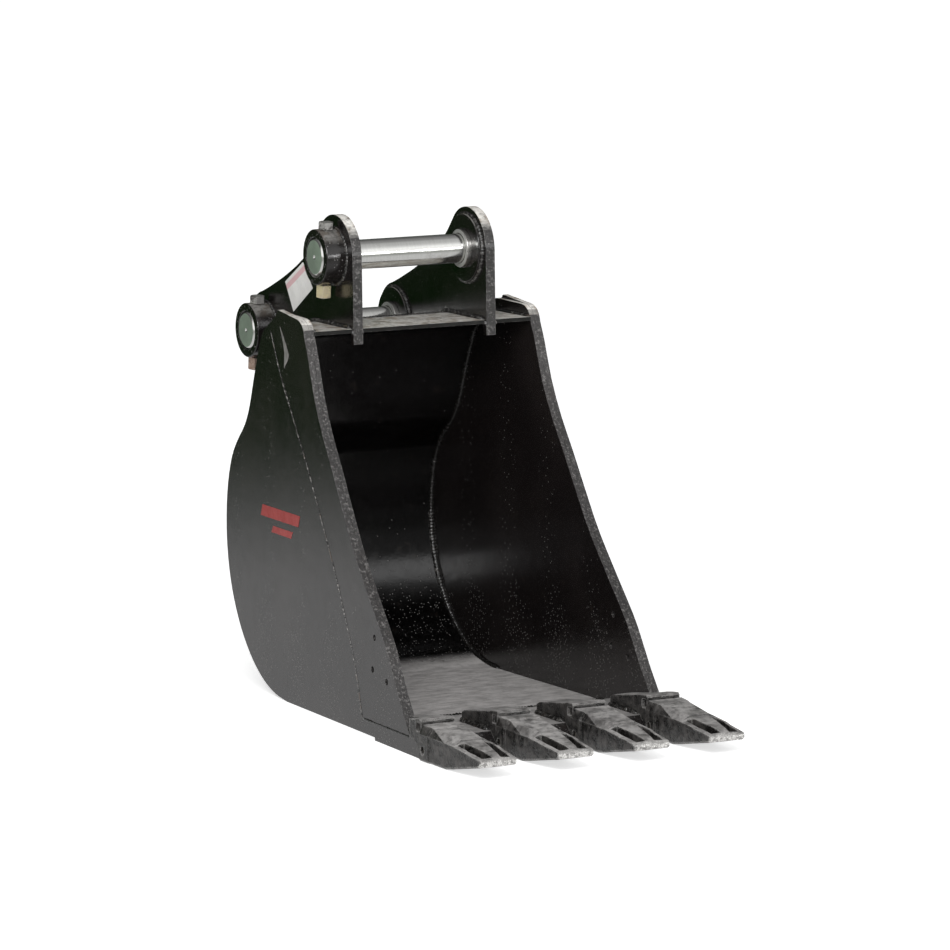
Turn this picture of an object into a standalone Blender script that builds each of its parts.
"""Pin-on trenching bucket for a small excavator.

Axes: X runs along the bucket pins, -Y is the mouth with the teeth, +Z is up.
The bucket stands on its flat bottom at Z = 0, and the origin ends up midway
between the tooth tips and the rear lug.  All lengths are metres.
"""

import math

import bpy
import bmesh
from mathutils import Matrix, Vector

# ---------------------------------------------------------------- driving dimensions
GAP = 0.0003                      # clearance left between neighbouring pieces
THROUGH = 0.06                    # length of a drill that goes right through a plate
BLANK = 0.1                       # half length of a cross piece before it is fitted
PIN_Y = 0.129                     # front (dipper) pin axis
PIN_Z = 0.579
PIN_SPACING = 0.240               # distance between the two pin axes
PIN_DROP = math.radians(28.5)     # the link pin sits lower by this angle
LINK_Y = PIN_Y + PIN_SPACING * math.cos(PIN_DROP)
LINK_Z = PIN_Z - PIN_SPACING * math.sin(PIN_DROP)
PIN_RADIUS = 0.019
PIN_HEAD_RADIUS = 0.025
PIN_HEAD_OUT = 0.0302             # head end beyond the ear's outer face
PIN_TAIL_OUT = 0.012              # tail end beyond the far ear
PIN_CHAMFER = 0.0015
PIN_HEAD_CHAMFER = 0.003
PIN_STEP = 0.001                  # length of the cone from head to shaft

EAR_INNER_X = 0.0883
EAR_THICKNESS = 0.013
EAR_OUTER_X = EAR_INNER_X + EAR_THICKNESS
EAR_LUG_RADIUS = 0.053
LINK_LUG_RADIUS = 0.050
EAR_TAB_Z = 0.4705                # lower end of the tab in front of the lip

COLLAR_RADIUS = 0.0357
COLLAR_LENGTH = 0.0275
RING_CHAMFER = 0.001
BOLT_X = -(EAR_OUTER_X + 0.0135)  # cross bolt through collar and pin head
BOLT_LEAN = math.radians(6.0)     # the bolts lean forward at the top
BUSH_RADIUS = 0.025
BUSH_IN = 0.012                   # bush proud of the right ear's inner face
BUSH_OUT = 0.010
BOSS_RADIUS = 0.044
BOSS_THICKNESS = 0.005

SIDE_TAPER = math.radians(2.0)    # each side plate leans in toward the back
HALF_WIDTH_AT_PIN = 0.1669        # centre plane to the doubler's outer face
DOUBLER_THICKNESS = 0.008
SIDE_THICKNESS = 0.006
SHELL_THICKNESS = 0.008
SHELL_INSET = 0.007               # side plates stand proud of the shell
TOP_THICKNESS = 0.005
TOP_Z = 0.490                     # upper face of the top plate
LIP_Y = 0.079                     # front of the top plate
TAB_REAR_Y = 0.0845               # the ears' tabs hook over the lip this far
TOP_REAR_Y = 0.182
EDGE_THICKNESS = 0.022            # cutting edge
EDGE_REAR_Y = -0.121
EDGE_FRONT_Y = -0.256
FOOT_CLEARANCE = 0.0012           # side plate foot to cutting edge, weld root gap

CUTTER_HOLE = 0.0042              # radius of the side cutter holes
CUTTER_HOLES = [(-0.124, 0.130), (-0.117, 0.089), (-0.159, 0.080)]
EDGE_BEVEL = 0.016                # depth of the cutting edge's sharpened face
EDGE_NOSE = 0.008                 # height left at its front
TOOTH_PITCH = 0.105
TOOTH_COUNT = 4
SOCKET_Y = -0.263                 # rear face of a tooth point
TOOTH_TIP_Y = -0.422
SOCKET_GAP = 0.0004
ADAPTER_HALF = 0.023
LOCK_Y = -0.273
LOCK_Z = 0.0135
LOCK_RADIUS = 0.005
LOCK_HALF = 0.0245
CENTRE_Y = -(TOOTH_TIP_Y + LINK_Y + LINK_LUG_RADIUS) / 2

BOLT_RADIUS = 0.006
BOLT_HOLE_RADIUS = 0.0065
BOLT_FLATS = 0.018
BOLT_HEAD = 0.009
BOLT_PROUD = 0.0015               # bolt end beyond the nut
NUT_HEIGHT = 0.0165
HEX_CHAMFER = 0.001

# ---------------------------------------------------------------- outlines (y, z)
# Front edge of the side plates, from the top corner down to the cutting edge.
FRONT_EDGE = [(0.083, 0.492), (0.079, 0.480), (0.070, 0.460), (0.052, 0.410), (0.027, 0.364),
              (-0.001, 0.324), (-0.054, 0.244), (-0.086, 0.204), (-0.135, 0.149),
              (-0.160, 0.119), (-0.192, 0.069), (-0.227, 0.0223)]
# Rear edge of the doubler, from the bottom up.
DOUBLER_REAR = [(-0.083, 0.0223), (-0.069, 0.068), (-0.048, 0.116), (-0.003, 0.198),
                (0.036, 0.257), (0.067, 0.304), (0.128, 0.386), (0.159, 0.427),
                (0.190, 0.482)]
# Rounded top corner of the side plate and of the doubler, front to rear.
PLATE_TOP = [(0.088, 0.4985), (0.096, 0.503), (0.104, 0.5045), (0.170, 0.506),
             (0.190, 0.500)]
DOUBLER_TOP = [(0.088, 0.4985), (0.096, 0.503), (0.104, 0.5045), (0.164, 0.5105)]
# Back of the bucket from the top plate round to the flat bottom.
BACK_EDGE = [(0.210, 0.489), (0.234, 0.474), (0.249, 0.450), (0.266, 0.413),
             (0.283, 0.372), (0.300, 0.346), (0.325, 0.323), (0.345, 0.299),
             (0.360, 0.262), (0.367, 0.218), (0.366, 0.176), (0.357, 0.135),
             (0.340, 0.098), (0.316, 0.065), (0.284, 0.036), (0.247, 0.015),
             (0.210, 0.004), (0.174, 0.0)]

PARTS = bpy.data.collections.new("excavator_bucket")
CUTTERS = bpy.data.collections.new("cutters")


# ---------------------------------------------------------------- helpers
def clear_scene():
    for obj in list(bpy.data.objects):
        bpy.data.objects.remove(obj, do_unlink=True)
    scene = bpy.context.scene
    scene.collection.children.link(PARTS)
    scene.collection.children.link(CUTTERS)
    scene.unit_settings.system = "METRIC"


def material(name, color, roughness, metallic):
    mat = bpy.data.materials.new(name)
    mat.use_nodes = True
    shader = mat.node_tree.nodes["Principled BSDF"]
    shader.inputs["Base Color"].default_value = (*color, 1.0)
    shader.inputs["Roughness"].default_value = roughness
    shader.inputs["Metallic"].default_value = metallic
    return mat


def add_mesh(name, bm, mat, smooth=False):
    bmesh.ops.recalc_face_normals(bm, faces=bm.faces)
    mesh = bpy.data.meshes.new(name)
    bm.to_mesh(mesh)
    bm.free()
    obj = bpy.data.objects.new(name, mesh)
    if mat is None:
        CUTTERS.objects.link(obj)
        obj.hide_render = True
        obj.display_type = "WIRE"
    else:
        PARTS.objects.link(obj)
        mesh.materials.append(mat)
    if smooth:
        mesh.shade_smooth()
    return obj


def spline(points, steps):
    """Smooth open curve through the points (centripetal-style Catmull-Rom)."""
    pts = [Vector(p) for p in points]
    pts = [2 * pts[0] - pts[1]] + pts + [2 * pts[-1] - pts[-2]]
    result = []
    for i in range(1, len(pts) - 2):
        before, start, end, after = pts[i - 1:i + 3]
        for k in range(steps):
            t = k / steps
            result.append(0.5 * (2 * start + (end - before) * t
                                 + (2 * before - 5 * start + 4 * end - after) * t * t
                                 + (3 * start - before - 3 * end + after) * t ** 3))
    result.append(pts[-2])
    return [tuple(p) for p in result]


def offset_curve(points, distance):
    """Open curve moved sideways; positive is to the left of its direction."""
    result = []
    for i, point in enumerate(points):
        ahead = Vector(points[min(i + 1, len(points) - 1)])
        behind = Vector(points[max(i - 1, 0)])
        along = (ahead - behind).normalized()
        result.append((point[0] - along.y * distance, point[1] + along.x * distance))
    return result


def arc(center, radius, start, end, steps):
    """Points on a circle in the (y, z) plane between two angles in degrees."""
    result = []
    for i in range(steps + 1):
        angle = math.radians(start + (end - start) * i / steps)
        result.append((center[0] + radius * math.cos(angle),
                       center[1] + radius * math.sin(angle)))
    return result


def prism(name, outline, x0, x1, mat):
    """Flat plate: the (y, z) outline extruded along X from x0 to x1."""
    bm = bmesh.new()
    face = bm.faces.new([bm.verts.new((x0, y, z)) for y, z in outline])
    grown = bmesh.ops.extrude_face_region(bm, geom=[face])["geom"]
    verts = [g for g in grown if isinstance(g, bmesh.types.BMVert)]
    bmesh.ops.translate(bm, verts=verts, vec=(x1 - x0, 0, 0))
    return add_mesh(name, bm, mat)


def cylinder(name, radius, length, mat, segments=48):
    """Cylinder centred on its own origin, axis along local Z."""
    bm = bmesh.new()
    bmesh.ops.create_cone(bm, cap_ends=True, segments=segments,
                          radius1=radius, radius2=radius, depth=length)
    return add_mesh(name, bm, mat, smooth=True)


def box(name, low, high, mat):
    bm = bmesh.new()
    bmesh.ops.create_cube(bm, size=1.0)
    size = Vector(high) - Vector(low)
    bmesh.ops.scale(bm, verts=bm.verts, vec=size)
    bmesh.ops.translate(bm, verts=bm.verts, vec=(Vector(high) + Vector(low)) / 2)
    return add_mesh(name, bm, mat)


def loft(name, sections, mat):
    """Closed solid through rings with equal point counts."""
    bm = bmesh.new()
    rings = [[bm.verts.new(p) for p in section] for section in sections]
    for first, second in zip(rings, rings[1:]):
        for i in range(len(first)):
            j = (i + 1) % len(first)
            bm.faces.new((first[i], first[j], second[j], second[i]))
    bm.faces.new(rings[0])
    bm.faces.new(rings[-1])
    return add_mesh(name, bm, mat)


def lay_along_x(obj, x, y, z):
    obj.location = (x, y, z)
    obj.rotation_euler = (0, math.pi / 2, 0)


def cut(obj, cutter, operation="DIFFERENCE"):
    modifier = obj.modifiers.new(cutter.name, "BOOLEAN")
    modifier.operation = operation
    modifier.solver = "EXACT"
    modifier.object = cutter


def half_width(y):
    """Centre plane to the doubler's outer face at depth y."""
    return HALF_WIDTH_AT_PIN - (y - PIN_Y) * math.tan(SIDE_TAPER)


def inner_width(y):
    """Centre plane to where a cross piece stops short of the side plate."""
    stack = (DOUBLER_THICKNESS + GAP + SIDE_THICKNESS + GAP) / math.cos(SIDE_TAPER)
    return half_width(y) - stack


def fit_between_sides(obj, width):
    """Move each end of a cross piece onto the plane of its side plate."""
    for vertex in obj.data.vertices:
        side = 1 if vertex.co.x > 0 else -1
        vertex.co.x = side * width(vertex.co.y)


def place_side(obj, side):
    """Stand a plate drawn at x = 0..thickness on its tapered side plane."""
    turn = Matrix.Rotation(SIDE_TAPER, 4, "Z")
    shift = Matrix.Translation((HALF_WIDTH_AT_PIN, PIN_Y, 0))
    obj.data.transform(shift @ turn @ Matrix.Translation((0, -PIN_Y, 0)))
    if side < 0:
        obj.data.transform(Matrix.Scale(-1, 4, (1, 0, 0)))
        obj.data.flip_normals()


# ---------------------------------------------------------------- bucket body
def side_outline():
    front = spline(FRONT_EDGE, 2)
    back = spline(BACK_EDGE, 3)
    foot_y = EDGE_REAR_Y + FOOT_CLEARANCE
    foot = [(foot_y, 0.0), (foot_y, EDGE_THICKNESS + GAP)]
    return PLATE_TOP + back + foot + front[::-1]


def build_sides(paint):
    for side, label in ((-1, "left"), (1, "right")):
        depth = DOUBLER_THICKNESS + GAP
        plate = prism(label + "_side_plate", side_outline(),
                      -depth - SIDE_THICKNESS, -depth, paint)
        place_side(plate, side)
        front = spline(FRONT_EDGE, 2)
        rear = spline(DOUBLER_REAR, 2)
        outline = front[::-1] + DOUBLER_TOP + rear[::-1]
        doubler = prism(label + "_side_doubler", outline, -DOUBLER_THICKNESS, 0, paint)
        place_side(doubler, side)
        for i, (y, z) in enumerate(CUTTER_HOLES):
            hole = cylinder("%s_cutter_hole_%d" % (label, i), CUTTER_HOLE, THROUGH, None, 20)
            lay_along_x(hole, side * (half_width(y) - DOUBLER_THICKNESS), y, z)
            cut(doubler, hole)
            cut(plate, hole)


def shell_path():
    """Outer face of the bent sheet, from the top plate down to the cutting edge."""
    back = offset_curve(spline(BACK_EDGE, 3), -SHELL_INSET)
    lead = [(TOP_REAR_Y + GAP, TOP_Z), (0.194, TOP_Z)]
    floor = [(0.174, SHELL_INSET), (EDGE_REAR_Y + GAP, SHELL_INSET)]
    return lead + back[1:-1] + floor


def build_shell(paint):
    """Back and floor in one bent sheet between the side plates."""
    outer = shell_path()
    inner = offset_curve(outer, -SHELL_THICKNESS)
    shell = prism("wrap_shell", outer + inner[::-1], -BLANK, BLANK, paint)
    fit_between_sides(shell, inner_width)


def build_top_plate(paint):
    plate = prism("top_plate", [(LIP_Y, TOP_Z - TOP_THICKNESS), (LIP_Y, TOP_Z),
                                (TOP_REAR_Y, TOP_Z), (TOP_REAR_Y, TOP_Z - TOP_THICKNESS)],
                  -BLANK, BLANK, paint)
    fit_between_sides(plate, inner_width)
    for side, label in ((-1, "left"), (1, "right")):
        near = side * (EAR_INNER_X - GAP)
        far = side * (EAR_OUTER_X + GAP)
        notch = box(label + "_tab_notch",
                    (min(near, far), LIP_Y - TOP_THICKNESS, TOP_Z - 2 * TOP_THICKNESS),
                    (max(near, far), TAB_REAR_Y + GAP, TOP_Z + TOP_THICKNESS), None)
        cut(plate, notch)


def build_cutting_edge(steel):
    outline = [(EDGE_REAR_Y, 0.0), (EDGE_REAR_Y, EDGE_THICKNESS),
               (EDGE_FRONT_Y + EDGE_BEVEL, EDGE_THICKNESS), (EDGE_FRONT_Y, EDGE_NOSE),
               (EDGE_FRONT_Y, 0.0)]
    edge = prism("cutting_edge", outline, -BLANK, BLANK, steel)
    fit_between_sides(edge, half_width)


# ---------------------------------------------------------------- hanger
def ear_outline():
    front_y = PIN_Y - EAR_LUG_RADIUS
    lug = arc((PIN_Y, PIN_Z), EAR_LUG_RADIUS, 180, 50, 26)
    link = arc((LINK_Y, LINK_Z), LINK_LUG_RADIUS, 80, -30, 22)
    saddle = spline([lug[-1], (0.190, 0.592), (0.225, 0.566), (0.274, 0.542),
                     (0.322, 0.523), link[0]], 4)[1:-1]
    seat = offset_curve(shell_path(), GAP)
    seat = [p for p in seat if p[1] > 0.334][::-1]
    tab = [(TAB_REAR_Y, TOP_Z + GAP), (TAB_REAR_Y, EAR_TAB_Z), (front_y, EAR_TAB_Z)]
    return lug + saddle + link + seat + tab


def build_ears(paint):
    for side, label, bore in ((-1, "left", PIN_HEAD_RADIUS), (1, "right", BUSH_RADIUS)):
        near = side * EAR_INNER_X
        far = side * EAR_OUTER_X
        ear = prism(label + "_ear", ear_outline(), min(near, far), max(near, far), paint)
        for name, y, z in (("upper", PIN_Y, PIN_Z), ("lower", LINK_Y, LINK_Z)):
            drill = cylinder("%s_%s_ear_bore" % (label, name), bore + GAP, THROUGH, None)
            lay_along_x(drill, side * (EAR_INNER_X + EAR_THICKNESS / 2), y, z)
            cut(ear, drill)


def turned(name, profile, y, z, mat, segments=48):
    """Solid turned about an axis along X; profile is (x, radius) from end to end."""
    sections = []
    for x, radius in profile:
        ring = []
        for k in range(segments):
            angle = 2 * math.pi * k / segments
            ring.append((x, radius * math.cos(angle), radius * math.sin(angle)))
        sections.append(ring)
    piece = loft(name, sections, mat)
    piece.location = (0, y, z)
    piece.data.shade_smooth()
    return piece


def ring(name, x0, x1, outer, inner, y, z, mat):
    """Collar, bush or boss: a short tube along X."""
    body = turned(name, [(x0, outer - RING_CHAMFER), (x0 + RING_CHAMFER, outer),
                         (x1 - RING_CHAMFER, outer), (x1, outer - RING_CHAMFER)],
                  y, z, mat)
    drill = cylinder(name + "_bore", inner, THROUGH, None)
    lay_along_x(drill, (x0 + x1) / 2, y, z)
    cut(body, drill)
    return body


def build_pin_set(name, y, z, paint, steel, zinc):
    """One pin with its collar, cross bolt and nut, and the bush in the far ear."""
    collar_in = -(EAR_OUTER_X + GAP)
    collar_out = collar_in - COLLAR_LENGTH
    collar = ring(name + "_left_collar", collar_out, collar_in, COLLAR_RADIUS,
                  PIN_HEAD_RADIUS + GAP, y, z, paint)
    ring(name + "_right_bush", EAR_INNER_X - BUSH_IN, EAR_OUTER_X + BUSH_OUT,
         BUSH_RADIUS, PIN_RADIUS + GAP, y, z, steel)
    boss_out = EAR_INNER_X - GAP
    ring(name + "_right_boss", boss_out - BOSS_THICKNESS, boss_out, BOSS_RADIUS,
         BUSH_RADIUS + GAP, y, z, paint)
    head_end = -(EAR_OUTER_X + PIN_HEAD_OUT - PIN_CHAMFER)
    tail_end = EAR_OUTER_X + PIN_TAIL_OUT
    pin = turned(name + "_pin", [(head_end, PIN_HEAD_RADIUS - PIN_HEAD_CHAMFER),
                                 (head_end + PIN_CHAMFER, PIN_HEAD_RADIUS),
                                 (-EAR_INNER_X - PIN_STEP, PIN_HEAD_RADIUS),
                                 (-EAR_INNER_X, PIN_RADIUS),
                                 (tail_end - PIN_CHAMFER, PIN_RADIUS),
                                 (tail_end, PIN_RADIUS - PIN_CHAMFER)], y, z, steel)
    drill = cylinder(name + "_bolt_hole", BOLT_HOLE_RADIUS, 4 * COLLAR_RADIUS, None, 32)
    lean_at(drill, y, z, 0.0)
    cut(collar, drill)
    cut(pin, drill)
    build_cross_bolt(name, y, z, zinc)


def lean_at(obj, y, z, along):
    """Stand a piece on a pin's cross bolt axis, this far up from the pin axis."""
    obj.location = (BOLT_X, y - along * math.sin(BOLT_LEAN), z + along * math.cos(BOLT_LEAN))
    obj.rotation_euler = (BOLT_LEAN, 0, 0)


def hex_block(name, flats, height, mat, bottom):
    """Hexagon with its corners turned off, standing on local z = bottom."""
    corner = flats / math.sqrt(3)
    levels = [(bottom, 0.94), (bottom + HEX_CHAMFER, 1.0),
              (bottom + height - HEX_CHAMFER, 1.0), (bottom + height, 0.92)]
    sections = []
    for level, scale in levels:
        sections.append([(corner * scale * math.cos(math.radians(60 * k)),
                          corner * scale * math.sin(math.radians(60 * k)), level)
                         for k in range(6)])
    return loft(name, sections, mat)


def build_cross_bolt(name, y, z, zinc):
    """The bolt's origin is under its head, the nut's on its seat."""
    seat = COLLAR_RADIUS + GAP
    reach = 2 * seat + NUT_HEIGHT + BOLT_PROUD
    bolt = hex_block(name + "_bolt", BOLT_FLATS, BOLT_HEAD, zinc, 0.0)
    lean_at(bolt, y, z, seat)
    shank = cylinder(name + "_shank", BOLT_RADIUS, reach + BOLT_HEAD / 2, None, 24)
    lean_at(shank, y, z, seat + BOLT_HEAD / 4 - reach / 2)
    cut(bolt, shank, "UNION")
    nut = hex_block(name + "_nut", BOLT_FLATS, NUT_HEIGHT, zinc, -NUT_HEIGHT)
    lean_at(nut, y, z, -seat)
    thread = cylinder(name + "_thread", BOLT_RADIUS + GAP, 2 * NUT_HEIGHT, None, 24)
    lean_at(thread, y, z, -seat - NUT_HEIGHT / 2)
    cut(nut, thread)


# ---------------------------------------------------------------- teeth
# Adapter in side view, (y, z), from the rear of its leg over the top to the lip.
ADAPTER_LEG = [(-0.1635, 0.0335), (-0.1710, 0.0370), (-0.2440, 0.0480), (-0.2580, 0.0495),
               (-0.2605, 0.0470), (-0.2605, 0.0020)]
# Nose of the adapter: y, half width, low z, high z.
NOSE = ((-0.2590, 0.0180, 0.0055, 0.0390), (-0.3110, 0.0145, 0.0130, 0.0280))
# Shallow pocket in each flank of the adapter's shoulder.
POCKET_LOW = (-0.2585, 0.0330)
POCKET_HIGH = (-0.2465, 0.0440)
POCKET_DEPTH = 0.003
SIDE_RELIEF_Y = -0.150            # where the outer adapters clear the side plates
SIDE_RELIEF_FRONT = -0.2285

# Tooth point: y, half width, underside, shoulder height, crown height, crown half width.
TOOTH_SECTIONS = (
    (-0.2630, 0.0275, 0.0012, 0.0320, 0.0425, 0.0225),
    (-0.2650, 0.0285, 0.0000, 0.0335, 0.0440, 0.0235),
    (-0.2865, 0.0285, 0.0000, 0.0335, 0.0432, 0.0215),
    (-0.2895, 0.0272, 0.0000, 0.0328, 0.0425, 0.0205),
    (-0.3300, 0.0270, 0.0000, 0.0324, 0.0400, 0.0160),
    (-0.3500, 0.0268, 0.0032, 0.0320, 0.0388, 0.0135),
    (-0.3525, 0.0268, 0.0037, 0.0318, 0.0362, 0.0125),
    (-0.3740, 0.0264, 0.0078, 0.0302, 0.0338, 0.0100),
    (-0.3860, 0.0258, 0.0100, 0.0280, 0.0325, 0.0083),
    (-0.4050, 0.0250, 0.0136, 0.0264, 0.0296, 0.0056),
    (-0.4180, 0.0245, 0.0158, 0.0250, 0.0262, 0.0040),
    (TOOTH_TIP_Y, 0.0236, 0.0172, 0.0234, 0.0238, 0.0035),
)
# Pit beside the tooth's rib: y, inner x, outer x, floor height.
PIT = ((-0.3560, 0.0128, 0.0222, 0.0190), (-0.3900, 0.0080, 0.0208, 0.0205),
       (-0.4150, 0.0046, 0.0196, 0.0246))
PIT_DRAFT = 0.0012
PIT_TOP = 0.050


def nose_sections(center_x, grow):
    """Tapered nose of an adapter; grow swells it to make the tooth's socket."""
    sections = []
    for (y, half, low, high), reach in zip(NOSE, (grow, -grow)):
        half += grow
        sections.append([(center_x - half, y + reach, low - grow),
                         (center_x + half, y + reach, low - grow),
                         (center_x + half, y + reach, high + grow),
                         (center_x - half, y + reach, high + grow)])
    return sections


def build_adapter(index, center_x, steel):
    """Weld-on adapter: a leg over the lip, a shoulder and the nose."""
    lip = EDGE_THICKNESS + GAP
    front = EDGE_FRONT_Y - GAP
    outline = [(ADAPTER_LEG[0][0], lip)] + ADAPTER_LEG
    outline += [(front, ADAPTER_LEG[-1][1]), (front, EDGE_NOSE),
                (EDGE_FRONT_Y + EDGE_BEVEL - GAP, lip)]
    adapter = prism("adapter_%d" % index, outline,
                    center_x - ADAPTER_HALF, center_x + ADAPTER_HALF, steel)
    nose = loft("nose_%d" % index, nose_sections(center_x, 0.0), None)
    cut(adapter, nose, "UNION")
    for side, label in ((-1, "left"), (1, "right")):
        flank = center_x + side * (ADAPTER_HALF - POCKET_DEPTH)
        beyond = center_x + side * (ADAPTER_HALF + POCKET_DEPTH)
        pocket = box("%s_pocket_%d" % (label, index), (min(flank, beyond), *POCKET_LOW),
                     (max(flank, beyond), *POCKET_HIGH), None)
        cut(adapter, pocket)
    if abs(center_x) > TOOTH_PITCH:
        side = 1 if center_x > 0 else -1
        ends = sorted((side * inner_width(SIDE_RELIEF_Y), side * 2 * HALF_WIDTH_AT_PIN))
        relief = box("side_relief_%d" % index, (ends[0], SIDE_RELIEF_FRONT, EDGE_NOSE),
                     (ends[1], EDGE_REAR_Y, 4 * EDGE_THICKNESS), None)
        cut(adapter, relief)


def tooth_ring(center_x, section):
    """Outline of the tooth across its length, with the lower corners taken off."""
    y, half, under, shoulder, crown, crown_half = section
    soft = 0.0018
    shape = [(-half + soft, under), (half - soft, under), (half, under + soft),
             (half, shoulder), (crown_half, crown), (-crown_half, crown),
             (-half, shoulder), (-half, under + soft)]
    return [(center_x + x, y, z) for x, z in shape]


def pit_cutter(name, center_x, side):
    """Wedge with drafted walls, deepest at its rear end."""
    sections = []
    for y, inner, outer, floor in PIT:
        shape = [(inner + PIT_DRAFT, floor), (outer - PIT_DRAFT, floor),
                 (outer + PIT_DRAFT, PIT_TOP), (inner - PIT_DRAFT, PIT_TOP)]
        sections.append([(center_x + side * x, y, z) for x, z in shape])
    return loft(name, sections, None)


def build_tooth(index, center_x, steel, zinc):
    tooth = loft("tooth_point_%d" % index,
                 [tooth_ring(center_x, section) for section in TOOTH_SECTIONS], steel)
    for side, label in ((-1, "left"), (1, "right")):
        cut(tooth, pit_cutter("%s_pit_%d" % (label, index), center_x, side))
    cavity = loft("socket_%d" % index, nose_sections(center_x, SOCKET_GAP), None)
    cut(tooth, cavity)
    adapter = bpy.data.objects["adapter_%d" % index]
    drill = cylinder("lock_hole_%d" % index, LOCK_RADIUS + GAP, THROUGH, None, 24)
    lay_along_x(drill, center_x, LOCK_Y, LOCK_Z)
    cut(tooth, drill)
    cut(adapter, drill)
    pin = cylinder("lock_pin_%d" % index, LOCK_RADIUS, 2 * LOCK_HALF, zinc, 24)
    lay_along_x(pin, center_x, LOCK_Y, LOCK_Z)


def build_teeth(cast, zinc):
    for i in range(TOOTH_COUNT):
        center_x = (i - (TOOTH_COUNT - 1) / 2) * TOOTH_PITCH
        build_adapter(i + 1, center_x, cast)
        build_tooth(i + 1, center_x, cast, zinc)


def main():
    clear_scene()
    paint = material("black_paint", (0.012, 0.012, 0.013), 0.38, 0.0)
    cast = material("black_cast_steel", (0.016, 0.016, 0.016), 0.52, 0.0)
    steel = material("bright_pin_steel", (0.62, 0.62, 0.60), 0.24, 1.0)
    bush = material("bush_steel", (0.30, 0.30, 0.29), 0.38, 1.0)
    zinc = material("yellow_zinc", (0.62, 0.52, 0.28), 0.34, 1.0)
    build_sides(paint)
    build_shell(paint)
    build_top_plate(paint)
    build_cutting_edge(paint)
    build_ears(paint)
    build_pin_set("upper", PIN_Y, PIN_Z, paint, steel, zinc)
    build_pin_set("lower", LINK_Y, LINK_Z, paint, steel, zinc)
    build_teeth(cast, zinc)
    for name in ("upper_right_bush", "lower_right_bush"):
        bpy.data.objects[name].data.materials[0] = bush
    for obj in list(PARTS.objects) + list(CUTTERS.objects):
        obj.location.y += CENTRE_Y


main()
